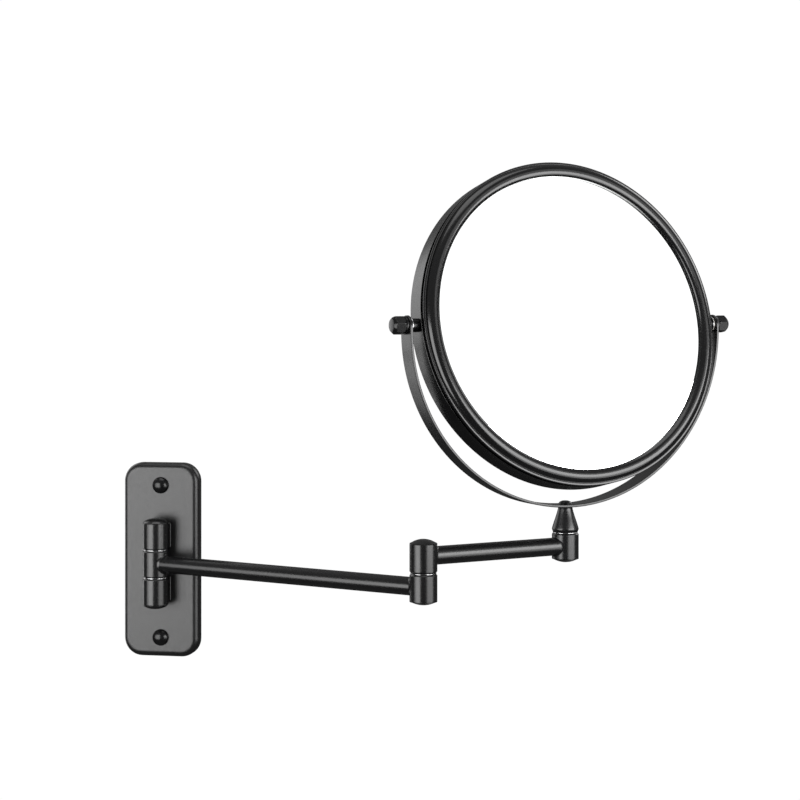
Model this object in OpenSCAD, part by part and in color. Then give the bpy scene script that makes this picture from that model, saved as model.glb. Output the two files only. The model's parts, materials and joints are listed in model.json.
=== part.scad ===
// Extendable shaving mirror: a wall plate, two folding arms and a two-faced round mirror in a yoke.
// The wall is the plane y = 0 and the object stands out towards -Y. The origin is on the wall,
// midway between the two wall screws, and level with the inner arm's axis.

/* [Wall plate] */
// Width of the wall cover
plate_w = 55; // [50:0.5:70]
// Height of the wall cover
plate_h = 137.5; // [134:0.5:160]
// Depth of the wall cover, from the wall to its face
plate_t = 9; // [8.5:0.5:12]
// Corner radius of the wall cover, seen from the front
plate_corner = 13; // [8:0.5:18]
// Radius of the cover's rounded front edge
plate_edge = 4.2; // [3:0.1:5]
// Height of the cover's middle above the middle of the screws
plate_rise = 1; // [0:0.5:2]
// Distance between the two wall screws
screw_pitch = 108; // [104:1:112]
// Diameter of a wall screw's shank
screw_d = 4.5; // [4:0.5:5]

/* [Arms] */
// Inner arm, from the wall hinge's axis to the elbow's axis
inner_arm_l = 220.5; // [180:0.5:260]
// Outer arm, from the elbow's axis to the yoke's swivel axis
outer_arm_l = 110.8; // [100:0.1:150]
// Outer diameter of both arm tubes
tube_d = 12; // [10:0.5:13]
// Outer diameter of the hinge, elbow and swivel barrels
barrel_d = 18; // [18:0.5:20]
// Diameter of the pins that the barrels turn on
pin_d = 8; // [7:0.5:8]
// Distance from the cover's face to the wall hinge's axis
hinge_standoff = 12; // [11:0.5:16]
// Height of the outer arm's axis above the inner arm's
outer_arm_z = 20; // [19:0.5:22]

/* [Mirror] */
// Radius of the glass that shows inside the bezel
view_r = 100; // [80:1:104]
// Radius of the front bezel's rolled bead
bead_r = 5.6; // [5:0.1:5.8]
// Distance from the tilt axis forward to the middle of the bead
bead_offset = 9.1; // [8.8:0.1:9.5]
// Width of the yoke's strip
yoke_w = 15; // [13:0.5:17]
// Height of the tilt axis above the middle of the yoke's half ring
yoke_rise = 3.65; // [2:0.05:12]

/* [Stored pose] */
// Direction of the inner arm, turned about +Z from +X
inner_arm_dir = -21.6; // [-90:0.1:0]
// Direction of the outer arm, turned about +Z from +X
outer_arm_dir = 40.2; // [0:0.1:90]
// Direction of the tilt axis, turned about +Z from +X
yoke_dir = 35.5; // [-60:0.1:60]
// Upward tilt of the front glass
tilt = 12.5; // [-20:0.1:20]

/* [Hidden] */

$fn = 96;
// Gap between pieces that touch but must not share volume
gap = 0.05;
// Extra length that makes a cut go right through
cut = 1;

// Wall plate
cover_wall = 1.6;
cover_lip = plate_t - cover_wall;
backing_t = 2.5;
backing_back = cover_lip - backing_t;
screw_reach = 30;
screw_tip = 6;
screw_head_r = 5.5;
screw_head_h = 4.6;
knuckle_screw_z = 19;

// Barrels: z of each end, measured from the inner arm's axis
barrel_r = barrel_d / 2;
bore_d = pin_d + 2 * gap;
bush_d = pin_d + 2;
washer_d = barrel_d - 1;
bevel = 1;
counterbore_d = 14;
hinge_half = 9.5;
hinge_start = 10;
hinge_end = 28.4;
hinge_dome = 3.5;
hinge_pin_half = 26;
elbow_low = -8.9;
elbow_split = 8.9;
elbow_gap = 0.4;
elbow_start = elbow_split + elbow_gap;
elbow_shelf = 18.6;
elbow_top = 28.1;
elbow_dome = 3.1;
elbow_bottom_dome = 2.5;
stem_low = 11.8;
stem_dome = 2.7;
stem_shelf = 17;
stem_top = 29;
neck_start = stem_top + elbow_gap;
neck_end = 46.3;
thread_d = 6;
nut_af = 10;
tube_wall = 1.2;

// Yoke: a half ring whose middle is just under the tilt axis
bead_mid_r = view_r + bead_r;
yoke_r = bead_mid_r + bead_r + 7.5;
yoke_t = 1.8;
yoke_tip_drop = 1;
pivot_z = neck_end + gap + yoke_r + yoke_rise;
pivot_hole_d = 7;
stud_d = 5;
stud_neck_d = 4;

// Mirror drum: distances from its own axis, and t along that axis, with +t to the front
bead_wall = 1;
band_r = bead_mid_r + bead_r - 0.8;
band_wall = 1;
drum_back = -10.4;
drum_corner = 1.5;
rear_seat = drum_back + band_wall + gap;
glass_t = 3;
glass_r = view_r + 3.5;
glass_front = bead_offset + 1.5;
backing_r = view_r + 2;
pad_r = view_r;
concave_r = 1000;
concave_t = 2;

// Axes of the joints
hinge_at = [0, -plate_t - hinge_standoff, 0];
elbow_at = hinge_at + inner_arm_l * [cos(inner_arm_dir), sin(inner_arm_dir), 0];
stem_at = elbow_at + outer_arm_l * [cos(outer_arm_dir), sin(outer_arm_dir), 0];

// ---- Shared shapes ----

// Cylinder along +Z from z0 to z1
module rod(d, z0, z1) {
    translate([0, 0, z0])
        cylinder(d = d, h = z1 - z0);
}

// Tube along +Z from z0 to z1
module pipe(d, hole, z0, z1) {
    difference() {
        rod(d, z0, z1);
        rod(hole, z0 - cut, z1 + cut);
    }
}

// Barrel along +Z from z0 to z1, its lower and upper ends bevelled by low and high
module barrel(z0, z1, low, high) {
    rod(barrel_d, z0 + low, z1 - high);
    if (low > 0)
        translate([0, 0, z0])
            cylinder(r1 = barrel_r - low, r2 = barrel_r, h = low);
    if (high > 0)
        translate([0, 0, z1 - high])
            cylinder(r1 = barrel_r, r2 = barrel_r - high, h = high);
}

// Hexagonal prism, af across its flats, from z0 to z1
module hexagon(af, z0, z1) {
    translate([0, 0, z0])
        cylinder(d = af / cos(30), h = z1 - z0, $fn = 6);
}

// Spherical cap on z = 0, rising to h over a base of radius r
module dome(r, h) {
    ball_r = (r * r + h * h) / (2 * h);
    rotate_extrude()
        intersection() {
            translate([0, h - ball_r])
                circle(ball_r);
            square([r, h]);
        }
}

// Puts +Z shapes so that their +Z points out of the wall, towards -Y
module out_of_wall() {
    rotate([90, 0, 0])
        children();
}

module rounded_rect(w, h, r) {
    square([w - 2 * r, h], center = true);
    square([w, h - 2 * r], center = true);
    for (x = [-1, 1], y = [-1, 1])
        translate([x * (w / 2 - r), y * (h / 2 - r)])
            circle(r);
}

// Slab on z = 0 with rounded corners and a rounded edge round its top face
module soft_slab(w, h, t, corner, edge) {
    linear_extrude(t - edge)
        rounded_rect(w, h, corner);
    translate([0, 0, t - edge])
        hull()
            for (x = [-1, 1], y = [-1, 1])
                translate([x * (w / 2 - corner), y * (h / 2 - corner), 0])
                    rotate_extrude($fn = 64)
                        intersection() {
                            translate([corner - edge, 0])
                                circle(edge, $fn = 40);
                            square([corner, edge]);
                        }
}

// Arm tube along +X between two barrels, with its ends shaped to them
module arm_tube(length) {
    difference() {
        rotate([0, 90, 0])
            pipe(tube_d, tube_d - 2 * tube_wall, 0, length);
        for (x = [0, length])
            translate([x, 0, 0])
                rod(barrel_d, -tube_d, tube_d);
    }
}

// ---- Places ----

module at_wall_screws() {
    for (z = [-1, 1] * screw_pitch / 2)
        translate([0, 0, z])
            children();
}

module at_knuckles() {
    for (z = [-1, 1] * knuckle_screw_z)
        translate([0, 0, z])
            children();
}

module in_yoke() {
    translate(stem_at)
        rotate([0, 0, yoke_dir])
            children();
}

// Origin at the mirror's centre, +X along the tilt axis, front glass towards -Y
module in_mirror() {
    translate(stem_at + [0, 0, pivot_z])
        rotate([0, 0, yoke_dir])
            rotate([-tilt, 0, 0])
                children();
}

// Both ends of the tilt axis, with +Z pointing outwards along it
module at_pivots() {
    in_mirror()
        for (side = [0, 180])
            rotate([0, 0, side])
                rotate([0, 90, 0])
                    children();
}

// A profile in (radius, t) turned about the mirror's own axis
module turned_about_mirror() {
    in_mirror()
        rotate([90, 0, 0])
            rotate_extrude($fn = 180)
                children();
}

// ---- Wall plate and hinge ----

module wall_cover() {
    color("#232324")
        difference() {
            translate([0, 0, plate_rise])
                out_of_wall()
                    difference() {
                        soft_slab(plate_w, plate_h, plate_t, plate_corner, plate_edge);
                        translate([0, 0, -cut])
                            soft_slab(plate_w - 2 * cover_wall, plate_h - 2 * cover_wall, cover_lip + cut,
                                      plate_corner - cover_wall, plate_edge - cover_wall);
                    }
            at_wall_screws()
                out_of_wall()
                    rod(screw_d + 0.4, 0, plate_t + cut);
            at_knuckles()
                out_of_wall()
                    rod(stud_d + 0.4, 0, plate_t + cut);
        }
}

module backing_plate() {
    color("silver")
        difference() {
            translate([0, 0, plate_rise])
                out_of_wall()
                    translate([0, 0, backing_back])
                        linear_extrude(backing_t - gap)
                            rounded_rect(plate_w - 10, plate_h - 10, plate_corner - 5);
            at_wall_screws()
                out_of_wall()
                    rod(screw_d + 0.4, 0, plate_t);
            at_knuckles()
                out_of_wall()
                    rod(stud_d + 0.4, 0, plate_t);
        }
}

module screw_sleeves() {
    color("silver")
        at_wall_screws()
            out_of_wall()
                pipe(2 * screw_d, screw_d + 0.4, 0, backing_back - gap);
}

module wall_screws() {
    color("#161617")
        at_wall_screws()
            out_of_wall() {
                translate([0, 0, plate_t])
                    dome(screw_head_r, screw_head_h);
                rod(screw_d - 0.5, 0, plate_t);
                rod(screw_d, screw_tip - screw_reach, 0);
                translate([0, 0, -screw_reach])
                    cylinder(d1 = 1, d2 = screw_d, h = screw_tip);
            }
}

module knuckle_screws() {
    head_h = 1.8;
    color("silver")
        at_knuckles()
            out_of_wall() {
                rod(stud_d, backing_back - 1, plate_t + 6.5);
                rod(9, backing_back - 1 - head_h, backing_back - 1);
            }
}

module knuckle_washers() {
    color("silver")
        at_knuckles()
            out_of_wall()
                pipe(10, stud_d + 0.2, backing_back - 1 + gap, backing_back - gap);
}

// Barrel, web and foot of one fixed knuckle of the wall hinge, above the inner arm
module fixed_knuckle() {
    web_w = 11;
    web_h = 14;
    foot_w = 16;
    foot_h = 18;
    foot_t = 2;
    difference() {
        union() {
            translate(hinge_at)
                barrel(hinge_start, hinge_end, bevel, 0);
            translate([-web_w / 2, hinge_at[1], knuckle_screw_z - web_h / 2])
                cube([web_w, hinge_standoff, web_h]);
            translate([0, 0, knuckle_screw_z])
                out_of_wall()
                    translate([0, 0, plate_t])
                        linear_extrude(foot_t)
                            rounded_rect(foot_w, foot_h, 3);
        }
        translate(hinge_at)
            rod(bore_d, hinge_start - cut, hinge_end + cut);
        translate([0, 0, knuckle_screw_z])
            out_of_wall()
                rod(stud_d + 2 * gap, plate_t - cut, plate_t + 7);
    }
}

module hinge_knuckle_top() {
    color("#1c1c1d")
        fixed_knuckle();
}

module hinge_knuckle_bottom() {
    color("#1c1c1d")
        mirror([0, 0, 1])
            fixed_knuckle();
}

module hinge_pin() {
    color("silver")
        translate(hinge_at)
            rod(pin_d, -hinge_pin_half, hinge_pin_half);
}

module hinge_caps() {
    color("#1c1c1d")
        translate(hinge_at)
            for (side = [0, 1])
                mirror([0, 0, side]) {
                    translate([0, 0, hinge_end])
                        dome(barrel_r, hinge_dome);
                    rod(pin_d, hinge_pin_half + gap, hinge_end);
                }
}

module hinge_washers() {
    color("gainsboro")
        translate(hinge_at)
            for (side = [0, 1])
                mirror([0, 0, side])
                    pipe(washer_d, bore_d, hinge_half + gap, hinge_start - gap);
}

// ---- Inner arm ----

module inner_arm_knuckle() {
    color("#1c1c1d")
        translate(hinge_at)
            difference() {
                barrel(-hinge_half, hinge_half, bevel, bevel);
                rod(bush_d, -hinge_half - cut, hinge_half + cut);
            }
}

module hinge_bushes() {
    color("ivory")
        translate(hinge_at)
            for (side = [0, 1])
                mirror([0, 0, side])
                    pipe(bush_d, bore_d, 0.5, hinge_half - gap);
}

module inner_arm_tube() {
    color("#1c1c1d")
        translate(hinge_at)
            rotate([0, 0, inner_arm_dir])
                arm_tube(inner_arm_l);
}

module elbow_lower_barrel() {
    color("#1c1c1d")
        translate(elbow_at)
            difference() {
                barrel(elbow_low, elbow_split, 0, bevel);
                rod(bore_d, elbow_low - cut, elbow_split + cut);
                rod(counterbore_d, elbow_low - cut, elbow_low + 5);
            }
}

module elbow_bolt() {
    color("silver")
        translate(elbow_at) {
            rod(13, elbow_low + 1.5, elbow_low + 5 - gap);
            rod(pin_d, elbow_low + 5 - gap, elbow_shelf);
            rod(thread_d, elbow_shelf, elbow_top - 3);
        }
}

module elbow_bottom_plug() {
    color("#1c1c1d")
        translate(elbow_at)
            mirror([0, 0, 1])
                translate([0, 0, -elbow_low]) {
                    dome(barrel_r, elbow_bottom_dome);
                    rod(counterbore_d - 2 * gap, -1.4, 0);
                }
}

module elbow_washer() {
    color("gainsboro")
        translate(elbow_at)
            pipe(washer_d, bore_d, elbow_split + gap, elbow_start - gap);
}

module elbow_spring_washer() {
    color("silver")
        translate(elbow_at)
            pipe(12, thread_d + 2 * gap, elbow_shelf + gap, elbow_shelf + 1);
}

module elbow_nut() {
    color("silver")
        translate(elbow_at)
            difference() {
                hexagon(nut_af, elbow_shelf + 1 + gap, elbow_shelf + 5);
                rod(thread_d + 2 * gap, elbow_shelf, elbow_top);
            }
}

// ---- Outer arm ----

module elbow_upper_barrel() {
    color("#1c1c1d")
        translate(elbow_at)
            difference() {
                barrel(elbow_start, elbow_top, bevel, 0);
                rod(bush_d, elbow_start - cut, elbow_shelf + cut);
                rod(counterbore_d, elbow_shelf, elbow_top + cut);
            }
}

module elbow_bush() {
    color("ivory")
        translate(elbow_at)
            pipe(bush_d, bore_d, elbow_start + gap, elbow_shelf - gap);
}

module elbow_cap() {
    color("#1c1c1d")
        translate(elbow_at + [0, 0, elbow_top]) {
            dome(barrel_r, elbow_dome);
            rod(counterbore_d - 2 * gap, -2, 0);
        }
}

module outer_arm_tube() {
    color("#1c1c1d")
        translate(elbow_at + [0, 0, outer_arm_z])
            rotate([0, 0, outer_arm_dir])
                arm_tube(outer_arm_l);
}

module stem_barrel() {
    color("#1c1c1d")
        translate(stem_at)
            difference() {
                barrel(stem_low, stem_top, 0, bevel);
                rod(bush_d, stem_shelf - cut, stem_top + cut);
                rod(counterbore_d, stem_low - cut, stem_shelf);
            }
}

module stem_bush() {
    color("ivory")
        translate(stem_at)
            pipe(bush_d, bore_d, stem_shelf + gap, stem_top - gap);
}

module stem_plug() {
    color("#1c1c1d")
        translate(stem_at)
            mirror([0, 0, 1])
                translate([0, 0, -stem_low]) {
                    dome(barrel_r, stem_dome);
                    rod(counterbore_d - 2 * gap, -0.8, 0);
                }
}

// ---- Yoke ----

module swivel_stem() {
    shoulder_z = neck_start + 2.2;
    neck_top_r = 5.15;
    color("#1c1c1d")
        translate(stem_at)
            difference() {
                union() {
                    // Neck with a hollowed flank, cut from a disc by a ring
                    rotate_extrude()
                        difference() {
                            union() {
                                translate([0, shoulder_z])
                                    square([barrel_r, neck_end - shoulder_z]);
                                polygon([[0, neck_start], [barrel_r - 0.7, neck_start],
                                         [barrel_r, shoulder_z], [0, shoulder_z]]);
                            }
                            translate([neck_top_r + 30, neck_end + 8])
                                circle(r = 30, $fn = 360);
                            polygon([[barrel_r, shoulder_z], [barrel_r + 1, shoulder_z],
                                     [barrel_r + 1, neck_end + 1], [neck_top_r, neck_end + 1],
                                     [neck_top_r, neck_end]]);
                        }
                    rod(pin_d, stem_shelf, neck_start);
                    rod(thread_d, stem_low + 0.9, stem_shelf);
                }
                rod(4 + 2 * gap, neck_end - 9, neck_end + cut);
            }
}

module stem_washer() {
    color("gainsboro")
        translate(stem_at)
            pipe(washer_d, bore_d, stem_top + gap, neck_start - gap);
}

module stem_spring_washer() {
    color("silver")
        translate(stem_at)
            pipe(12, thread_d + 2 * gap, stem_shelf - 1, stem_shelf - gap);
}

module stem_nut() {
    color("silver")
        translate(stem_at)
            difference() {
                hexagon(nut_af, stem_low + 0.9, stem_shelf - 1 - gap);
                rod(thread_d + 2 * gap, stem_low, stem_shelf);
            }
}

module yoke_strip() {
    color("#1c1c1d")
        in_yoke()
            difference() {
                union() {
                    translate([0, 0, pivot_z - yoke_rise])
                        rotate([90, 0, 0])
                            rotate_extrude(angle = 180, start = 180, $fn = 180)
                                translate([yoke_r - yoke_t, -yoke_w / 2])
                                    square([yoke_t, yoke_w]);
                    for (side = [0, 180])
                        rotate([0, 0, side])
                            translate([yoke_r - yoke_t, 0, pivot_z - yoke_tip_drop]) {
                                translate([0, -yoke_w / 2, yoke_tip_drop - yoke_rise])
                                    cube([yoke_t, yoke_w, yoke_rise - yoke_tip_drop]);
                                rotate([0, 90, 0])
                                    cylinder(d = yoke_w, h = yoke_t);
                            }
                }
                translate([0, 0, pivot_z])
                    rotate([0, 90, 0])
                        rod(pivot_hole_d, -yoke_r - cut, yoke_r + cut);
                rod(4 + 2 * gap, neck_end - cut, neck_end + 5);
            }
}

module yoke_screw() {
    seat = neck_end + gap + yoke_t + 2 * gap;
    color("#161617")
        translate(stem_at + [0, 0, seat]) {
            dome(4.8, 2.6);
            rod(4, -9, 0);
        }
}

// Flanged bushes in the yoke's two holes
module pivot_bushes() {
    color("ivory")
        in_yoke()
            for (side = [0, 180])
                rotate([0, 0, side])
                    translate([0, 0, pivot_z])
                        rotate([0, 90, 0])
                            difference() {
                                union() {
                                    rod(pivot_hole_d - 2 * gap, yoke_r - yoke_t - 0.5, yoke_r);
                                    rod(10, yoke_r - yoke_t - 0.6, yoke_r - yoke_t - gap);
                                }
                                rod(stud_d + 2 * gap, 0, yoke_r + cut);
                            }
}

// ---- Mirror ----

// Band with a flange turned in behind the magnifying glass, its front edge shaped to the bead
module drum_band() {
    band_front = bead_offset - 2.9;
    color("#1c1c1d")
        difference() {
            turned_about_mirror()
                difference() {
                    union() {
                        translate([view_r, drum_back])
                            square([band_r - drum_corner - view_r, band_wall]);
                        translate([view_r, drum_back + drum_corner])
                            square([band_r - view_r, band_front - drum_back - drum_corner]);
                        translate([band_r - drum_corner, drum_back + drum_corner])
                            circle(drum_corner);
                    }
                    translate([0, drum_back + band_wall])
                        square([band_r - band_wall, 30]);
                    translate([bead_mid_r, bead_offset])
                        circle(bead_r + gap);
                }
            at_pivots()
                rod(stud_neck_d + 2 * gap, 0, yoke_r);
        }
}

// Rolled bead with its lip in front of the glass and a short skirt inside the band
module front_bezel() {
    skirt_r = band_r - band_wall - gap;
    color("#1c1c1d")
        turned_about_mirror() {
            difference() {
                translate([bead_mid_r, bead_offset])
                    circle(bead_r);
                translate([bead_mid_r, bead_offset])
                    circle(bead_r - bead_wall);
                translate([view_r - cut, 0])
                    square([bead_r + cut, glass_front + gap]);
            }
            translate([skirt_r - 0.9, bead_offset - 5.8])
                square([0.9, 1.8]);
        }
}

module front_mirror() {
    color("white")
        turned_about_mirror()
            translate([0, glass_front - glass_t])
                square([glass_r, glass_t]);
}

// Depth of the magnifying glass's hollow at radius r
function concave_sag(r) = concave_r - sqrt(concave_r * concave_r - r * r);

// Section of a ball whose middle lies behind the object, on the mirror's own axis
module concave_disc(r) {
    translate([0, rear_seat + concave_sag(glass_r) - concave_r])
        circle(r = r, $fn = 1440);
}

module rear_mirror() {
    color("white")
        turned_about_mirror()
            intersection() {
                difference() {
                    concave_disc(concave_r + concave_t);
                    concave_disc(concave_r);
                }
                translate([0, drum_back])
                    square([glass_r, -drum_back]);
            }
}

module front_backing() {
    color("dimgray")
        turned_about_mirror()
            translate([0, 4.5])
                square([backing_r, glass_front - glass_t - gap - 4.5]);
}

module core_disc() {
    color("gray")
        turned_about_mirror()
            translate([0, -0.4])
                square([pad_r, 4.85]);
}

// Foam between the core and the domed back of the magnifying glass
module rear_backing() {
    steps = 10;
    back_r = concave_r + concave_t;
    crown_t = rear_seat + concave_sag(glass_r) + concave_t + 2 * gap;
    glass_side = [for (i = [0:steps]) let (r = pad_r * i / steps)
                  [r, crown_t + sqrt(back_r * back_r - r * r) - back_r]];
    color("dimgray")
        turned_about_mirror()
            polygon(concat(glass_side, [[pad_r, -0.45], [0, -0.45]]));
}

module pivot_studs() {
    color("silver")
        at_pivots() {
            rod(stud_neck_d, glass_r + 0.1, band_r + gap);
            rod(stud_d, band_r + gap, yoke_r + 8);
        }
}

// Flat nuts inside the band, low enough to pass behind the bead
module pivot_nuts() {
    nut_w = 14;
    nut_h = 5.8;
    color("silver")
        at_pivots()
            difference() {
                translate([-nut_w / 2, -nut_h / 2, glass_r + 0.3])
                    cube([nut_w, nut_h, band_r - band_wall - glass_r - 0.6]);
                rod(stud_neck_d + 2 * gap, glass_r, yoke_r);
            }
}

module pivot_spacers() {
    color("#161617")
        difference() {
            at_pivots()
                pipe(9, stud_d + 2 * gap, band_r - 1, yoke_r - yoke_t - 1.3);
            turned_about_mirror()
                translate([0, -20])
                    square([band_r + gap, 40]);
        }
}

module pivot_washers() {
    color("gainsboro")
        at_pivots()
            pipe(11, stud_d + 2 * gap, yoke_r - yoke_t - 1.25, yoke_r - yoke_t - 0.7);
}

module pivot_collars() {
    color("#161617")
        at_pivots()
            pipe(12, stud_d + 2 * gap, yoke_r + 0.1, yoke_r + 1.6);
}

// Cap nuts on the ends of the tilt axis, each closed by a blunt cone
module cap_nuts() {
    start = yoke_r + 1.65;
    shoulder = start + 5.4;
    cone_h = 3.25;
    color("#161617")
        at_pivots()
            difference() {
                intersection() {
                    hexagon(11, start, shoulder + cone_h);
                    union() {
                        rod(12.2, start, shoulder);
                        translate([0, 0, shoulder])
                            cylinder(r1 = 6.1, r2 = 3.2, h = cone_h);
                    }
                }
                rod(stud_d + 2 * gap, start - cut, yoke_r + 8.1);
            }
}

wall_cover();
backing_plate();
screw_sleeves();
wall_screws();
knuckle_screws();
knuckle_washers();
hinge_knuckle_top();
hinge_knuckle_bottom();
hinge_pin();
hinge_caps();
hinge_washers();
inner_arm_knuckle();
hinge_bushes();
inner_arm_tube();
elbow_lower_barrel();
elbow_bolt();
elbow_bottom_plug();
elbow_washer();
elbow_spring_washer();
elbow_nut();
elbow_upper_barrel();
elbow_bush();
elbow_cap();
outer_arm_tube();
stem_barrel();
stem_bush();
stem_plug();
swivel_stem();
stem_washer();
stem_spring_washer();
stem_nut();
yoke_strip();
yoke_screw();
pivot_bushes();
drum_band();
front_bezel();
front_mirror();
rear_mirror();
front_backing();
core_disc();
rear_backing();
pivot_studs();
pivot_nuts();
pivot_spacers();
pivot_washers();
pivot_collars();
cap_nuts();
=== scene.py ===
"""Looks of the extendable shaving mirror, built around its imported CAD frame."""

import json
import math

import bmesh
import bpy
from mathutils import Matrix, Vector


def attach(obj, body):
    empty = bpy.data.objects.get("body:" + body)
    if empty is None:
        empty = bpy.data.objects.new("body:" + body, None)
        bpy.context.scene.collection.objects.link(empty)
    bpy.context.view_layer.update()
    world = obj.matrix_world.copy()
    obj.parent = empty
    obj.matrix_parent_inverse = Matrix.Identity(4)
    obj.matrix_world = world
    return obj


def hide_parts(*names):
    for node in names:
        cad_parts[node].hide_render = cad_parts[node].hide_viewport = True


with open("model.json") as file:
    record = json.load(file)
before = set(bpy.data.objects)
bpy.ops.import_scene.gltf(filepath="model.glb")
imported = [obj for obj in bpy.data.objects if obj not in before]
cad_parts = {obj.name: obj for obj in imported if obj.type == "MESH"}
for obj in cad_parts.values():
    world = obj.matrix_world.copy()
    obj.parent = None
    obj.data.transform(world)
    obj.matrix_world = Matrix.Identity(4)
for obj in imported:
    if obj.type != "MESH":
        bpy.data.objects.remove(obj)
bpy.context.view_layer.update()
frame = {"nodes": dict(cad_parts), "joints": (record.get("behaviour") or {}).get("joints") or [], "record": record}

# ---- Dimensions from the CAD, in millimetres ----

MM = 0.001
PLATE_W, PLATE_H, PLATE_T = 55.0, 137.5, 9.0
PLATE_CORNER, PLATE_EDGE, PLATE_RISE = 13.0, 4.2, 1.0
COVER_WALL = 1.6
SCREW_Z = 54.0
BARREL_R = 9.0
PIN_R, WASHER_R = 4.0, 8.5
TUBE_R = 6.0
BEVEL = 1.0
OUTER_ARM_Z = 20.0
PIVOT_Z = 168.7
YOKE_R, YOKE_T, YOKE_W, YOKE_RISE, YOKE_TIP_DROP = 118.7, 1.8, 15.0, 3.65, 1.0
NECK_END = 46.3
TILT = math.radians(12.5)
BEAD_MID, BEAD_T, BEAD_R = 105.6, 9.1, 5.6
BAND_R, DRUM_BACK = 110.4, -10.4
GLASS_R, GLASS_FRONT, GLASS_T = 103.5, 10.6, 3.0
REAR_SEAT, CONCAVE_R, CONCAVE_T = -9.35, 1000.0, 2.0

# ---- Places: matrices from millimetres in a local frame to metres in the shared frame ----

JOINTS = {joint["name"]: joint for joint in frame["joints"]}
SCALE = Matrix.Scale(MM, 4)


def joint_axis_at(name):
    """Point of a vertical joint's axis at the inner arm's height."""
    x, y, _ = JOINTS[name]["pos_m"]
    return Vector((x, y, 0))


HINGE_AT = joint_axis_at("inner_arm_swing")
ELBOW_AT = joint_axis_at("elbow_swing")
STEM_AT = joint_axis_at("yoke_swivel")
TILT_AXIS = Vector(JOINTS["mirror_tilt"]["axis"])
INNER_DIR = math.atan2(ELBOW_AT.y - HINGE_AT.y, ELBOW_AT.x - HINGE_AT.x)
OUTER_DIR = math.atan2(STEM_AT.y - ELBOW_AT.y, STEM_AT.x - ELBOW_AT.x)
YOKE_DIR = math.atan2(TILT_AXIS.y, TILT_AXIS.x)
INNER_L = (ELBOW_AT - HINGE_AT).length / MM
OUTER_L = (STEM_AT - ELBOW_AT).length / MM


def turn(axis, degrees):
    return Matrix.Rotation(math.radians(degrees), 4, axis)


def shift(x, y, z):
    return Matrix.Translation((x, y, z))


PLATE = SCALE @ turn("X", 90)
HINGE = Matrix.Translation(HINGE_AT) @ SCALE
ELBOW = Matrix.Translation(ELBOW_AT) @ SCALE
STEM = Matrix.Translation(STEM_AT) @ SCALE
YOKE = STEM @ Matrix.Rotation(YOKE_DIR, 4, "Z")
MIRROR = YOKE @ shift(0, 0, PIVOT_Z) @ Matrix.Rotation(-TILT, 4, "X")
DRUM = MIRROR @ turn("X", 90)
PIVOTS = {"right": MIRROR @ turn("Y", 90), "left": MIRROR @ turn("Z", 180) @ turn("Y", 90)}
FLIP = Matrix.Scale(-1, 4, (0, 0, 1))

# ---- Materials ----


def set_range(node, *numbers):
    """Set a Map Range node's ends: from low, from high, to low, to high."""
    for socket, number in zip(("From Min", "From Max", "To Min", "To Max"), numbers):
        node.inputs[socket].default_value = number


class Nodes:
    """Small helper that adds and links shader nodes of one material."""

    def __init__(self, name):
        self.material = bpy.data.materials.new(name)
        self.material.use_nodes = True
        self.tree = self.material.node_tree
        self.shader = self.tree.nodes["Principled BSDF"]
        self.place = self.tree.nodes.new("ShaderNodeTexCoord").outputs["Object"]

    def link(self, output, target):
        self.tree.links.new(output, target)

    def mapped(self, stretch):
        node = self.tree.nodes.new("ShaderNodeMapping")
        node.inputs["Scale"].default_value = stretch
        self.link(self.place, node.inputs["Vector"])
        return node.outputs["Vector"]

    def noise(self, scale, detail=4.0, roughness=0.55, vector=None):
        node = self.tree.nodes.new("ShaderNodeTexNoise")
        node.inputs["Scale"].default_value = scale
        node.inputs["Detail"].default_value = detail
        node.inputs["Roughness"].default_value = roughness
        self.link(vector or self.place, node.inputs["Vector"])
        return node.outputs["Fac"]

    def ramp(self, value, low, high, out_low, out_high):
        node = self.tree.nodes.new("ShaderNodeMapRange")
        set_range(node, low, high, out_low, out_high)
        self.link(value, node.inputs["Value"])
        return node.outputs["Result"]

    def mix(self, value, first, second):
        node = self.tree.nodes.new("ShaderNodeMix")
        node.data_type = "RGBA"
        node.inputs["A"].default_value = (*first, 1)
        node.inputs["B"].default_value = (*second, 1)
        self.link(value, node.inputs["Factor"])
        return node.outputs["Result"]

    def bump(self, height, distance, strength):
        node = self.tree.nodes.new("ShaderNodeBump")
        node.inputs["Distance"].default_value = distance
        node.inputs["Strength"].default_value = strength
        self.link(height, node.inputs["Height"])
        return node.outputs["Normal"]

    def finish(self, colour, roughness, normal=None, **values):
        self.link(colour, self.shader.inputs["Base Color"])
        self.link(roughness, self.shader.inputs["Roughness"])
        if normal:
            self.link(normal, self.shader.inputs["Normal"])
        for socket, number in values.items():
            self.shader.inputs[socket.replace("_", " ")].default_value = number
        return self.material


def coated(name, dark, light, rough_low, rough_high, peel, specular):
    """Black paint: cloudy tone, patchy gloss, and the fine orange peel of a sprayed coat."""
    n = Nodes(name)
    clouds = n.noise(38, 3)
    colour = n.mix(n.ramp(clouds, 0.3, 0.7, 0, 1), dark, light)
    rough = n.ramp(n.noise(420, 5, 0.65), 0.3, 0.7, rough_low, rough_high)
    waves = n.bump(n.noise(700, 1, 0.4), peel, 0.5)
    return n.finish(colour, rough, waves, Specular_IOR_Level=specular)


def metal(name, dark, light, rough_low, rough_high, grain):
    """Bare or plated steel with drawn lines and a slightly uneven tone."""
    n = Nodes(name)
    lines = n.noise(1500, 3, 0.6, n.mapped((1, 1, 14)))
    colour = n.mix(n.ramp(n.noise(160, 4), 0.3, 0.7, 0, 1), dark, light)
    rough = n.ramp(lines, 0.3, 0.7, rough_low, rough_high)
    return n.finish(colour, rough, n.bump(lines, grain, 0.5), Metallic=1.0)


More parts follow.
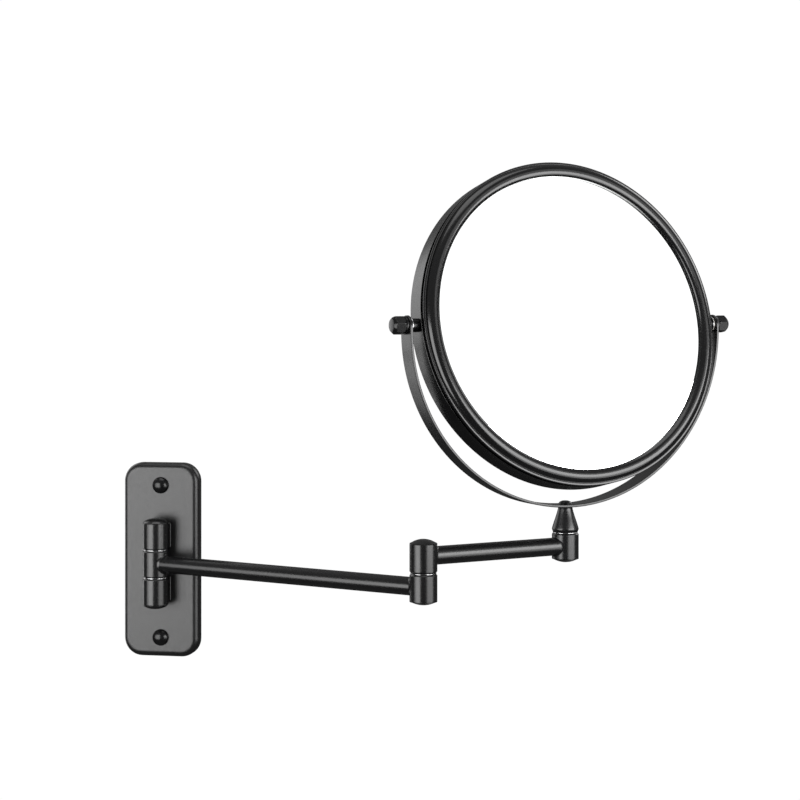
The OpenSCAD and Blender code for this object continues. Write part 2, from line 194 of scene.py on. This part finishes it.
def plastic(name, dark, light, rough_low, rough_high, grain, scale):
    """Moulded or pressed material with a fine, even grain."""
    n = Nodes(name)
    colour = n.mix(n.ramp(n.noise(scale * 0.1, 4), 0.3, 0.7, 0, 1), dark, light)
    fine = n.noise(scale, 4, 0.6)
    return n.finish(colour, n.ramp(fine, 0.3, 0.7, rough_low, rough_high), n.bump(fine, grain, 0.6))


def silvered_glass():
    """Silvered glass: a clean mirror with the faintest haze."""
    n = Nodes("mirror_glass")
    haze = n.ramp(n.noise(9, 3), 0.35, 0.75, 0.002, 0.012)
    colour = n.mix(n.noise(6, 2), (0.93, 0.945, 0.94), (0.95, 0.96, 0.955))
    return n.finish(colour, haze, Metallic=1.0)


BLACK_LOW, BLACK_HIGH = (0.0035, 0.0035, 0.0037), (0.0055, 0.0055, 0.0058)
PLATE_LOW, PLATE_HIGH = (0.004, 0.004, 0.0042), (0.006, 0.006, 0.0063)
GLOSS_LOW, GLOSS_HIGH = (0.003, 0.003, 0.0032), (0.005, 0.005, 0.0053)

COAT = coated("black_coat", BLACK_LOW, BLACK_HIGH, 0.23, 0.28, 0.000003, 0.5)
PLATE_COAT = coated("black_coat_plate", PLATE_LOW, PLATE_HIGH, 0.3, 0.36, 0.000003, 0.5)
BEZEL_COAT = coated("black_coat_bezel", BLACK_LOW, BLACK_HIGH, 0.15, 0.2, 0.000004, 0.5)
GLOSS = coated("black_gloss", GLOSS_LOW, GLOSS_HIGH, 0.2, 0.25, 0.000003, 0.32)
BRIGHT = metal("bright_steel", (0.68, 0.68, 0.69), (0.78, 0.78, 0.79), 0.12, 0.2, 0.000006)
ZINC = metal("zinc_steel", (0.42, 0.43, 0.45), (0.60, 0.61, 0.62), 0.28, 0.42, 0.00001)
NYLON = plastic("nylon", (0.76, 0.73, 0.66), (0.84, 0.82, 0.76), 0.35, 0.5, 0.00001, 1800)
BOARD = plastic("board", (0.24, 0.21, 0.17), (0.38, 0.34, 0.28), 0.8, 0.95, 0.00006, 900)
CORE = plastic("core_plastic", (0.09, 0.09, 0.09), (0.14, 0.14, 0.14), 0.45, 0.6, 0.00002, 1500)
GLASS = silvered_glass()

SLOT_MATERIALS = {"black_coat": COAT, "black_gloss": GLOSS, "bright_steel": BRIGHT, "zinc_steel": ZINC,
                  "nylon": NYLON, "mirror_glass": GLASS, "board": BOARD, "core_plastic": CORE}
NODE_SLOTS = {part["node"]: part["material_slot"] for part in frame["record"]["subparts"]}
NODE_BODIES = {node: body for body, nodes in frame["record"]["behaviour"]["bodies"].items() for node in nodes}

for node, solid in frame["nodes"].items():
    solid.data.materials.clear()
    solid.data.materials.append(SLOT_MATERIALS[NODE_SLOTS[node]])

# ---- Mesh tools ----


def rounded(corners, steps=5, closed=False):
    """Outline with each corner (x, y, radius) turned into an arc."""
    outline = []
    count = len(corners)
    for i, (x, y, radius) in enumerate(corners):
        if not radius or (not closed and i in (0, count - 1)):
            outline.append((x, y))
            continue
        corner = Vector((x, y))
        back = Vector(corners[i - 1][:2]) - corner
        on = Vector(corners[(i + 1) % count][:2]) - corner
        half = back.angle(on) / 2
        reach = min(radius / math.tan(half), 0.49 * back.length, 0.49 * on.length)
        arc = reach * math.tan(half)
        middle = corner + (back.normalized() + on.normalized()).normalized() * (arc / math.sin(half))
        start = corner + back.normalized() * reach - middle
        end = corner + on.normalized() * reach - middle
        sweep = start.angle_signed(end)
        for k in range(steps + 1):
            spoke = Matrix.Rotation(-sweep * k / steps, 2) @ start
            outline.append(tuple(middle + spoke))
    return outline


def loft(rings, joined=False):
    """Vertices and faces through rings of equal length. Unless joined end to end, the ends are closed."""
    size = len(rings[0])
    vertices = [point for ring in rings for point in ring]
    faces = []
    for r in range(len(rings) if joined else len(rings) - 1):
        a, b = r * size, (r + 1) % len(rings) * size
        for i in range(size):
            j = (i + 1) % size
            faces.append((a + i, a + j, b + j, b + i))
    if not joined:
        for ring, start in ((rings[0], 0), (rings[-1], (len(rings) - 1) * size)):
            middle = sum((Vector(p) for p in ring), Vector()) / size
            vertices.append(tuple(middle))
            hub = len(vertices) - 1
            for i in range(size):
                faces.append((hub, start + (i + 1) % size, start + i))
    return vertices, faces


def turned(profile, segments=96, joined=False, radius_at=None):
    """Solid of revolution about +Z from (radius, z) points, its radius changed by radius_at(angle, r, z)."""
    rings = []
    for r, z in profile:
        ring = []
        for i in range(segments):
            angle = math.tau * i / segments
            radius = radius_at(angle, r, z) if radius_at else r
            ring.append((radius * math.cos(angle), radius * math.sin(angle), z))
        rings.append(ring)
    return loft(rings, joined)


def raw_piece(name, geometry, place):
    """Mesh object in the shared frame, from vertices in the place's millimetres."""
    vertices, faces = geometry
    mesh = bpy.data.meshes.new(name)
    mesh.from_pydata([place @ Vector(v) for v in vertices], [], faces)
    piece = bpy.data.objects.new(name, mesh)
    bpy.context.collection.objects.link(piece)
    return piece


def clean(mesh):
    """Join doubled points, drop edges of no length and turn every face outwards."""
    work = bmesh.new()
    work.from_mesh(mesh)
    bmesh.ops.remove_doubles(work, verts=work.verts, dist=1e-6)
    bmesh.ops.dissolve_degenerate(work, edges=work.edges, dist=1e-7)
    bmesh.ops.recalc_face_normals(work, faces=work.faces)
    work.to_mesh(mesh)
    work.free()


def make(name, geometry, place, node, material=None, sharp=38):
    """Finished piece that stands for a CAD node."""
    dress(raw_piece(name, geometry, place), node, material, sharp)


def dress(piece, node, material=None, sharp=38):
    """Give a raw piece its shading and finish, and the body and slot of the node that it replaces."""
    mesh = piece.data
    clean(mesh)
    mesh.shade_smooth()
    mesh.set_sharp_from_angle(angle=math.radians(sharp))
    mesh.materials.clear()
    mesh.materials.append(material or SLOT_MATERIALS[NODE_SLOTS[node]])
    weighted = piece.modifiers.new("flat_shading", "WEIGHTED_NORMAL")
    weighted.keep_sharp = True
    weighted.weight = 90
    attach(piece, NODE_BODIES[node])
    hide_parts(node)


def fused(name, geometries, place):
    """One closed mesh from several overlapping closed ones."""
    base = raw_piece(name, geometries[0], place)
    clean(base.data)
    for geometry in geometries[1:]:
        tool = raw_piece(name + "_tool", geometry, place)
        clean(tool.data)
        union = base.modifiers.new("join", "BOOLEAN")
        union.operation = "UNION"
        union.solver = "EXACT"
        union.object = tool
        result = bpy.data.meshes.new_from_object(base.evaluated_get(bpy.context.evaluated_depsgraph_get()))
        base.modifiers.clear()
        base.data = result
        bpy.data.objects.remove(tool)
    return base


def slab_outline(width, height, corner, inset):
    """Rectangle with round corners, drawn in by an inset on every side."""
    w, h, r = width / 2 - inset, height / 2 - inset, max(corner - inset, 0.3)
    corners = [(-w, -h, r), (w, -h, r), (w, h, r), (-w, h, r)]
    return rounded(corners, 12, closed=True)


# ---- Wall plate ----


def cover_rings(inset, top, edge):
    """Rings of one side of the cover's shell, from the wall up and over its edge to its face."""
    rings = []
    steps = [(0.0, inset + 0.35), (0.35, inset), (2.0, inset), (top - edge, inset)]
    for k in range(1, 11):
        angle = math.radians(9 * k)
        steps.append((top - edge + edge * math.sin(angle), inset + edge * (1 - math.cos(angle))))
    steps += [(top, inset + edge + 0.5), (top, inset + edge + 3)]
    for z, step in steps:
        ring = slab_outline(PLATE_W, PLATE_H, PLATE_CORNER, step)
        rings.append([(x, y + PLATE_RISE, z) for x, y in ring])
    return rings


def build_wall_cover():
    """Pressed shell, open at the wall."""
    outer = cover_rings(0, PLATE_T, PLATE_EDGE)
    inner = cover_rings(COVER_WALL, PLATE_T - COVER_WALL, PLATE_EDGE - COVER_WALL)
    make("wall_cover_shell", loft(inner[::-1] + outer), PLATE, "wall_cover", PLATE_COAT)


def thread_radius(core, crest, pitch, start, end):
    """Radius of a helical thread that fades in and out at its ends."""

    def radius(angle, r, z):
        if not start <= z <= end:
            return r
        phase = (z / pitch - angle / math.tau) % 1
        ridge = max(0.0, 1 - abs(phase - 0.5) / 0.28)
        fade = min(1, (z - start) / pitch, (end - z) / pitch)
        return min(r, core) + (crest - core) * ridge * max(0, fade)

    return radius


def build_wall_screws():
    """Screws with domed heads, whose threads taper to a point in the wall."""
    head_r, head_rise, head_seat, shank_r = 5.85, 4.2, 0.02, 2.0
    core, crest, pitch, step = 1.62, 2.25, 1.75, 0.16
    thread_top, depth, taper, point_r = 2, 30.0, 6, 0.1
    taper_z = taper - depth
    head = []
    for k in range(16):
        angle = math.radians(6 * k)
        head.append((head_r * math.sin(angle), PLATE_T + 0.35 + head_rise * math.cos(angle)))
    head += [(5.7, PLATE_T + head_seat), (shank_r, PLATE_T + head_seat)]
    shank = [(shank_r, PLATE_T - 0.5 * k) for k in range(1, 15)]
    threaded = []
    for k in range(int((depth - 0.4 + thread_top) / step)):
        z = thread_top - step * k
        narrowing = 1 if z > taper_z else max(0.15, (z + 30.4) / 6.4)
        threaded.append((core * narrowing, z))
    profile = head + shank + threaded + [(point_r, -depth)]
    radius = thread_radius(core, crest, pitch, 1 - depth, thread_top)

    def tapered(angle, r, z):
        if z >= thread_top:
            return r
        limit = crest if z > taper_z else 0.35 + (z + depth) / taper * 1.9
        return min(radius(angle, r, z), max(limit, point_r))

    for name, z in (("upper", SCREW_Z), ("lower", -SCREW_Z)):
        make("wall_screw_" + name, turned(profile, 40, radius_at=tapered), PLATE @ shift(0, z, 0),
             "wall_screws", sharp=50)


def box_rings(x0, x1, y0, y1, z0, z1, edge):
    """Bevelled block as rings along z."""
    rings = []
    for z, inset in ((z0, edge), (z0 + edge, 0), (z1 - edge, 0), (z1, edge)):
        corners = [(x0 + inset, y0 + inset, edge), (x1 - inset, y0 + inset, edge),
                   (x1 - inset, y1 - inset, edge), (x0 + inset, y1 - inset, edge)]
        rings.append([(x, y, z) for x, y in rounded(corners, 3, closed=True)])
    return loft(rings)


def build_hinge():
    """Two fixed knuckles, each a barrel on a web and foot, with the inner arm's sleeve between them."""
    low, high, sleeve_end = 10, 28.4, 9.5
    face = -HINGE_AT.y / MM - PLATE_T
    barrel = turned(rounded([(0, low, 0), (BARREL_R - BEVEL, low, 0.25), (BARREL_R, low + BEVEL, 0.35),
                             (BARREL_R, high, 0.22), (BARREL_R - 1.2, high, 0), (0, high, 0)]))
    web = box_rings(-5.5, 5.5, 0.5, face + 0.2, 12.0, 26.0, 0.7)
    foot = box_rings(-8, 8, face - 2, face, 10.2, 27.8, 0.6)
    cap = turned(rounded([(0, 25, 0), (3.9, 25, 0.2), (3.9, high, 0), (BARREL_R - 0.25, 28.42, 0.2),
                          (BARREL_R - 0.05, 28.75, 0.3), (BARREL_R * 0.86, 30.1, 3),
                          (BARREL_R * 0.55, 31.35, 6), (BARREL_R * 0.2, 31.85, 8), (0, 31.9, 0)], 6))
    for name, place in (("top", HINGE), ("bottom", HINGE @ FLIP)):
        casting = fused("hinge_knuckle_%s_casting" % name, [barrel, web, foot], place)
        dress(casting, "hinge_knuckle_" + name)
        make("hinge_cap_" + name, cap, place, "hinge_caps")
        make("hinge_washer_" + name, washer(sleeve_end, low, WASHER_R), place, "hinge_washers")
    bore, flat, shoulder = PIN_R + 1.05, BARREL_R - BEVEL, sleeve_end - BEVEL
    sleeve = rounded([(bore, -sleeve_end, 0.1), (flat, -sleeve_end, 0.25), (BARREL_R, -shoulder, 0.35),
                      (BARREL_R, shoulder, 0.35), (flat, sleeve_end, 0.25), (bore, sleeve_end, 0.1)],
                     closed=True)
    make("inner_arm_sleeve", turned(sleeve, joined=True), HINGE, "inner_arm_knuckle")


def washer(low, high, radius, hole=PIN_R + 0.1):
    """Thin ring with rounded edges."""
    low, high = low + 0.03, high - 0.03
    edge = (high - low) * 0.4
    return turned(rounded([(hole, low, edge), (radius, low, edge), (radius, high, edge), (hole, high, edge)],
                          4, closed=True), joined=True)


# ---- Arms ----


def arm_tube(length):
    """Tube along +X whose ends follow the barrels, each with a small weld fillet."""
    segments, stations, straight_from = 72, 12, 12
    lip, lip_reach = 0.9, 1.3

    def ring(radius, inset, side):
        points = []
        for i in range(segments):
            angle = math.tau * i / segments
            y, z = radius * math.cos(angle), radius * math.sin(angle)
            x = math.sqrt(max(BARREL_R ** 2 - y * y, 0)) + inset
            points.append((x if side < 0 else length - x, y, z))
        return points

    ends = []
    for side in (-1, 1):
        rings = [ring(TUBE_R + lip - 0.25, -0.6, side)]
        for k in range(7):
            a = math.radians(15 * k)
            rings.append(ring(TUBE_R + lip * (1 - math.sin(a)), lip_reach * (1 - math.cos(a)), side))
        ends.append(rings)
    middle = []
    angles = [math.tau * i / segments for i in range(segments)]
    for k in range(1, stations):
        x = straight_from + (length - 2 * straight_from) * k / stations
        middle.append([(x, TUBE_R * math.cos(angle), TUBE_R * math.sin(angle)) for angle in angles])
    return loft(ends[0] + middle + ends[1][::-1])


def build_elbow():
    """Two barrels on one axis: the lower on the inner arm, the upper on the outer arm."""
    half, base, top = 8.9, 9.3, 28.1
    lower = turned(rounded([(0, -half, 0), (BARREL_R - 1.2, -half, 0), (BARREL_R, -half, 0.2),
                            (BARREL_R, half - BEVEL - 0.1, 0.35), (BARREL_R - BEVEL - 0.1, half, 0.25),
                            (0, half, 0)]))
    upper = turned(rounded([(0, base, 0), (BARREL_R - BEVEL - 0.1, base, 0.25),
                            (BARREL_R, base + BEVEL + 0.1, 0.35), (BARREL_R, top, 0.2),
                            (BARREL_R - 1.2, top, 0), (0, top, 0)]))
    bottom = ELBOW @ shift(0, 0, -half) @ FLIP
    make("elbow_lower_body", lower, ELBOW, "elbow_lower_barrel")
    make("elbow_upper_body", upper, ELBOW, "elbow_upper_barrel")
    make("elbow_cap_domed", domed_plug(BARREL_R, 3.1, 2.0), ELBOW @ shift(0, 0, top), "elbow_cap")
    make("elbow_plug_domed", domed_plug(BARREL_R, 2.5, 1.4), bottom, "elbow_bottom_plug")
    make("elbow_washer_ring", washer(half, base, WASHER_R), ELBOW, "elbow_washer")


def domed_plug(radius, height, plug):
    """Domed end piece with a soft shoulder, on a short plug."""
    ball = (radius * radius + height * height) / (2 * height)
    dome = [(0, -plug), (6.9, -plug), (6.9, 0), (radius - 0.25, 0.02), (radius - 0.06, 0.1), (radius, 0.3)]
    for k in range(13):
        r = radius * (1 - k / 12)
        z = height - ball + math.sqrt(ball * ball - r * r)
        if z > 0.55:
            dome.append((min(r, radius - 0.12), z))
    return turned(dome)


def build_stem():
    """Barrel at the outer arm's end and the tapered neck that turns on it."""
    base, top = 11.8, 29
    barrel = turned(rounded([(0, base, 0), (BARREL_R - 1.2, base, 0), (BARREL_R, base, 0.2),
                             (BARREL_R, top - BEVEL, 0.35), (BARREL_R - BEVEL, top, 0.25), (0, top, 0)]))
    make("stem_barrel_body", barrel, STEM, "stem_barrel")
    make("stem_plug_domed", domed_plug(BARREL_R, 2.7, 0.8), STEM @ shift(0, 0, base) @ FLIP, "stem_plug")
    make("stem_washer_ring", washer(top, 29.4, WASHER_R), STEM, "stem_washer")
    flank = []
    for k in range(17):
        u = k / 16
        flank.append((4.8 + 4.1 * u ** 1.2 + 0.15 * math.sin(math.pi * u ** 2), 45.9 - 13.7 * u))
    neck = [(0, NECK_END), (4.35, NECK_END), (4.65, 46.2)] + flank + [
        (8.98, 31.75), (9.0, 31.45), (8.95, 31.2), (8.35, 29.75), (8.2, 29.5), (8.0, 29.42), (0, 29.42)]
    make("swivel_neck", turned(neck[::-1]), STEM, "swivel_stem")


# ---- Yoke ----


def build_yoke():
    """Flat strip bent to a half ring, with straight, rounded ends and softened edges."""
    mid_r = YOKE_R - YOKE_T / 2
    centre_z = PIVOT_Z - YOKE_RISE
    tip_z = PIVOT_Z - YOKE_TIP_DROP
    half, t, soft = YOKE_W / 2, YOKE_T / 2, 0.5
    tip_end, tip_steps = 89.5, 18
    stations = []
    for k in range(tip_steps + 1):
        angle = math.radians(tip_end - tip_end * k / tip_steps)
        stations.append(((-mid_r, tip_z + half * math.sin(angle)), (-1, 0), half * math.cos(angle)))
    for k in range(181):
        angle = math.radians(180 + k)
        out = (math.cos(angle), math.sin(angle))
        stations.append(((mid_r * out[0], centre_z + mid_r * out[1]), out, half))
    for k in range(tip_steps + 1):
        angle = math.radians(tip_end * k / tip_steps)
        stations.append(((mid_r, tip_z + half * math.sin(angle)), (1, 0), half * math.cos(angle)))
    rings = []
    for (x, z), (nx, nz), wide in stations:
        edge = min(soft, wide * 0.45)
        corners = [(-wide, -t, edge), (wide, -t, edge), (wide, t, edge), (-wide, t, edge)]
        ring = []
        for across, out in rounded(corners, 4, closed=True):
            ring.append((x + nx * out, across, z + nz * out))
        rings.append(ring)
    make("yoke_strip_bent", loft(rings), YOKE, "yoke_strip", sharp=42)
    head = rounded([(0, 2.3, 0), (2.2, 2.15, 4), (4.0, 1.3, 2), (4.6, 0.25, 0.3), (4.5, 0, 0.1), (2, 0, 0),
                    (2, -9, 0.3), (0, -9, 0)], 6)
    make("yoke_screw_domed", turned(head), YOKE @ shift(0, 0, NECK_END + 1.95), "yoke_screw")


# ---- Mirror ----


def front_bezel_section():
    """Closed (radius, depth) outline: inner wall, rolled bead, groove, flat land, skirt and hollow back."""
    crest_r, wall_r, skirt_r = 104.0, 99.8, 108.4
    inner_spread, inner_drop, outer_spread = 4.6, 3.6, 5.25
    hollow_rise, hollow_outer, hollow_inner = 4.6, 4.2, 3.2
    seat = GLASS_FRONT + 0.05
    bead = []
    for k in range(41):
        x = (crest_r - wall_r) * (1 - k / 40)
        drop = inner_drop * (1 - math.sqrt(1 - (x / inner_spread) ** 2))
        bead.append((crest_r - x, BEAD_T + BEAD_R - drop))
    for k in range(1, 49):
        angle = math.radians(90 - 58 * k / 48)
        bead.append((crest_r + outer_spread * math.cos(angle), BEAD_T + BEAD_R * math.sin(angle)))
    groove = [(108.45, 11.6), (108.45, 11.0), (108.5, 10.75)]
    land = [(108.65, 10.7), (108.85, 10.82), (109.1, 10.86), (109.8, 10.84), (110.15, 10.72), (110.34, 10.5),
            (110.4, 10.15), (110.4, 9.75), (110.2, 9.4), (109.8, 9.15)]
    skirt = [(109.35, 8.9), (109.3, 8.5), (109.3, 4.6), (skirt_r, 4.6), (skirt_r, 9.6)]
    hollow = []
    for k in range(31):
        angle = math.radians(30 + 132 * k / 30)
        spread = hollow_outer if math.cos(angle) > 0 else hollow_inner
        r, t = crest_r + spread * math.cos(angle), BEAD_T + hollow_rise * math.sin(angle)
        if r > BEAD_MID or t > seat:
            hollow.append((min(r, skirt_r), t))
    lip = [(100.9, seat), (wall_r + 0.15, seat), (wall_r, GLASS_FRONT + 0.2)]
    return lip + bead + groove + land + skirt + hollow


def build_drum():
    """Front bezel, side band with its turned-in rear flange, flat front glass and concave rear glass."""
    bezel = turned(front_bezel_section(), 288, joined=True)
    make("front_bezel_rolled", bezel, DRUM, "front_bezel", BEZEL_COAT, sharp=60)
    front, flange_r = BEAD_T - 2.9, 100.2
    band = rounded([(flange_r, DRUM_BACK, 0.4), (BAND_R, DRUM_BACK, 1.5), (BAND_R, front - 0.15, 0.15),
                    (BAND_R - 0.15, front, 0), (BAND_R - 1, 4.95, 0), (BAND_R - 1, DRUM_BACK + 1, 0.4),
                    (flange_r, DRUM_BACK + 1, 0.4)], 6, closed=True)
    make("drum_band_rolled", turned(band, 288, joined=True), DRUM, "drum_band", sharp=60)
    glass = rounded([(0, GLASS_FRONT - GLASS_T, 0), (GLASS_R, GLASS_FRONT - GLASS_T, 0.4),
                     (GLASS_R, GLASS_FRONT, 0.6), (0, GLASS_FRONT, 0)], 3)
    make("front_glass", turned(glass, 192), DRUM, "front_mirror")
    sag = CONCAVE_R - math.sqrt(CONCAVE_R ** 2 - GLASS_R ** 2)
    centre_t = REAR_SEAT + sag - CONCAVE_R
    back_r = CONCAVE_R + CONCAVE_T
    radii = [GLASS_R * k / 40 for k in range(41)]
    concave = [(r, centre_t + math.sqrt(CONCAVE_R ** 2 - r ** 2)) for r in radii]
    inner = [(r, centre_t + math.sqrt(back_r ** 2 - r ** 2)) for r in radii[::-1]]
    make("rear_glass", turned(concave + inner, 192), DRUM, "rear_mirror")


def cap_nut():
    """Six-sided nut with rounded corners and a blunt cone at its end."""
    flat_r, corner_r, round_r = 5.5, 6.2, 6.35
    start = YOKE_R + 1.65
    shoulder, end = start + 6.7, start + 8.65
    sixth = math.pi / 3

    def hexed(angle, r, _):
        flat = flat_r / math.cos((angle + sixth / 2) % sixth - sixth / 2)
        return min(r, flat, corner_r)

    profile = [(0, start), (5.0, start), (5.6, start + 0.25), (6.1, start + 0.7), (round_r, start + 1.0)]
    profile += [(round_r, start + 1.0 + (shoulder - start - 1.5) * k / 6) for k in range(1, 7)]
    for k in range(11):
        profile.append((round_r - 2.05 * (k / 10), shoulder - 0.5 + (end - shoulder + 0.4) * (k / 10)))
    profile += [(4.0, end), (0, end)]
    return turned(profile, 144, radius_at=hexed)


def build_pivots():
    """Spacer, washer, collar and cap nut on the tilt axis, at both ends."""
    bore, spacer_r, spacer_end, collar_r, collar_end = 2.6, 4.5, 115.55, 6.0, YOKE_R + 1.6
    washer_r, washer_at, washer_end = 5.5, 115.6, 116.25
    for side, place in PIVOTS.items():
        spacer = turned(rounded([(bore, BAND_R + 0.1, 0), (spacer_r, BAND_R + 0.1, 0.25),
                                 (spacer_r, spacer_end, 0.3), (bore, spacer_end, 0)], 4, closed=True),
                        64, joined=True)
        make("pivot_spacer_" + side, spacer, place, "pivot_spacers")
        make("pivot_washer_" + side, washer(washer_at, washer_end, washer_r, bore), place, "pivot_washers")
        collar = turned(rounded([(bore, YOKE_R + 0.1, 0), (collar_r, YOKE_R + 0.1, 0.25),
                                 (collar_r, collar_end, 0.45), (bore, collar_end, 0)], 4, closed=True),
                        72, joined=True)
        make("pivot_collar_" + side, collar, place, "pivot_collars")
        make("cap_nut_" + side, cap_nut(), place, "cap_nuts", sharp=24)


INNER_ARM = HINGE @ Matrix.Rotation(INNER_DIR, 4, "Z")
OUTER_ARM = ELBOW @ shift(0, 0, OUTER_ARM_Z) @ Matrix.Rotation(OUTER_DIR, 4, "Z")

build_wall_cover()
build_wall_screws()
build_hinge()
make("inner_arm_tube_coped", arm_tube(INNER_L), INNER_ARM, "inner_arm_tube")
build_elbow()
make("outer_arm_tube_coped", arm_tube(OUTER_L), OUTER_ARM, "outer_arm_tube")
build_stem()
build_yoke()
build_drum()
build_pivots()

# ---- Floor, light and camera ----

FLOOR_Z, FLOOR_REACH = -1.3, 9.0
WHITE = (1, 1, 1, 1)
BACKDROP = 1.02


def build_floor():
    """Floor that the camera sees as plain white, and that reflections and bounced light see as grey."""
    mesh = bpy.data.meshes.new("floor")
    corners = ((-1, -1), (1, -1), (1, 1), (-1, 1))
    mesh.from_pydata([(FLOOR_REACH * x, FLOOR_REACH * y, FLOOR_Z) for x, y in corners], [], [(0, 1, 2, 3)])
    floor = bpy.data.objects.new("floor", mesh)
    bpy.context.collection.objects.link(floor)
    n = Nodes("floor")
    tone = n.mix(n.noise(3, 2), (0.10, 0.10, 0.10), (0.12, 0.12, 0.12))
    n.finish(tone, n.ramp(n.noise(8, 2), 0.3, 0.7, 0.7, 0.8))
    path = n.tree.nodes.new("ShaderNodeLightPath")
    glow = n.tree.nodes.new("ShaderNodeEmission")
    glow.inputs["Color"].default_value = WHITE
    glow.inputs["Strength"].default_value = BACKDROP
    mixer = n.tree.nodes.new("ShaderNodeMixShader")
    n.link(path.outputs["Is Camera Ray"], mixer.inputs["Fac"])
    n.link(n.shader.outputs["BSDF"], mixer.inputs[1])
    n.link(glow.outputs["Emission"], mixer.inputs[2])
    n.link(mixer.outputs["Shader"], n.tree.nodes["Material Output"].inputs["Surface"])
    mesh.materials.append(n.material)


def build_world():
    """Surroundings that the camera sees as plain white, and reflections as a dim room, lighter upwards."""
    world = bpy.data.worlds.new("studio")
    bpy.context.scene.world = world
    world.use_nodes = True
    tree = world.node_tree
    dim = tree.nodes["Background"]
    dim.inputs["Color"].default_value = WHITE
    place = tree.nodes.new("ShaderNodeTexCoord")
    split = tree.nodes.new("ShaderNodeSeparateXYZ")
    height = tree.nodes.new("ShaderNodeMapRange")
    set_range(height, -0.3, 1.0, 0.07, 0.3)
    tree.links.new(place.outputs["Generated"], split.inputs["Vector"])
    tree.links.new(split.outputs["Z"], height.inputs["Value"])
    tree.links.new(height.outputs["Result"], dim.inputs["Strength"])
    white = tree.nodes.new("ShaderNodeBackground")
    white.inputs["Color"].default_value = WHITE
    white.inputs["Strength"].default_value = BACKDROP
    path = tree.nodes.new("ShaderNodeLightPath")
    mixer = tree.nodes.new("ShaderNodeMixShader")
    tree.links.new(path.outputs["Is Camera Ray"], mixer.inputs["Fac"])
    tree.links.new(dim.outputs["Background"], mixer.inputs[1])
    tree.links.new(white.outputs["Background"], mixer.inputs[2])
    tree.links.new(mixer.outputs["Shader"], tree.nodes["World Output"].inputs["Surface"])


def soft_box(name, at, aim, width, height, radiance):
    """Rectangular studio light, its power set from the radiance that it shows in a reflection."""
    light = bpy.data.lights.new(name, "AREA")
    light.shape = "RECTANGLE"
    light.size, light.size_y = width, height
    light.energy = radiance * math.pi * width * height
    lamp = bpy.data.objects.new(name, light)
    lamp.location = at
    lamp.rotation_euler = (Vector(aim) - Vector(at)).to_track_quat("-Z", "Y").to_euler()
    lamp.visible_camera = False
    bpy.context.collection.objects.link(lamp)


# Name, place, point that it faces, width, height and radiance. The two left boxes make one wide box
# with a dimmer far end, and the low box and low card carry on the ones above them.
LIGHTS = (
    ("left_box", (-0.489, -0.987, 0.035), (-0.274, -0.01, 0.035), 0.775, 0.83, 6.4),
    ("left_far_box", (-1.149, -0.842, 0.035), (-0.934, 0.135, 0.035), 0.575, 0.83, 3.8),
    ("right_box", (0.935, -0.425, 0.16), (0.205, -0.10, 0.16), 0.82, 0.4, 8.0),
    ("right_low_box", (0.935, -0.425, -0.17), (0.205, -0.10, -0.17), 0.82, 0.26, 3.0),
    ("mirror_card", (2.05, -0.8, 0.95), (0.3, -0.03, 0.17), 0.95, 0.95, 1.14),
    ("top_box", (0.2, -0.3, 1.9), (0.2, -0.05, 0.0), 1.4, 1.2, 2.0),
    ("back_box", (1.3, 1.2, 0.95), (0.1, 0.0, 0.1), 1.2, 1.0, 3.0),
    ("back_left_card", (-0.456, 0.272, 0.34), (0.2, -0.09, 0.16), 0.5, 0.6, 1.6),
    ("back_left_low_card", (-0.456, 0.272, -0.14), (0.2, -0.09, -0.14), 0.22, 0.36, 1.6),
)

build_floor()
build_world()
for light in LIGHTS:
    soft_box(*light)

# The camera, fitted to the photo: level, turned slightly to the left, with the view shifted down.
CAMERA_AT, CAMERA_TURN = (0.4149, -1.3415, 0.1808), 10.3
LENS, VIEW_SHIFT = 87.8, -0.1167

camera_data = bpy.data.cameras.new("camera")
camera_data.lens = LENS
camera_data.sensor_width = 36
camera_data.shift_y = VIEW_SHIFT
camera = bpy.data.objects.new("camera", camera_data)
camera.location = CAMERA_AT
camera.rotation_euler = (math.radians(90), 0, math.radians(CAMERA_TURN))
bpy.context.collection.objects.link(camera)
bpy.context.scene.camera = camera
bpy.context.scene.view_settings.view_transform = "Standard"

bpy.context.view_layer.update()
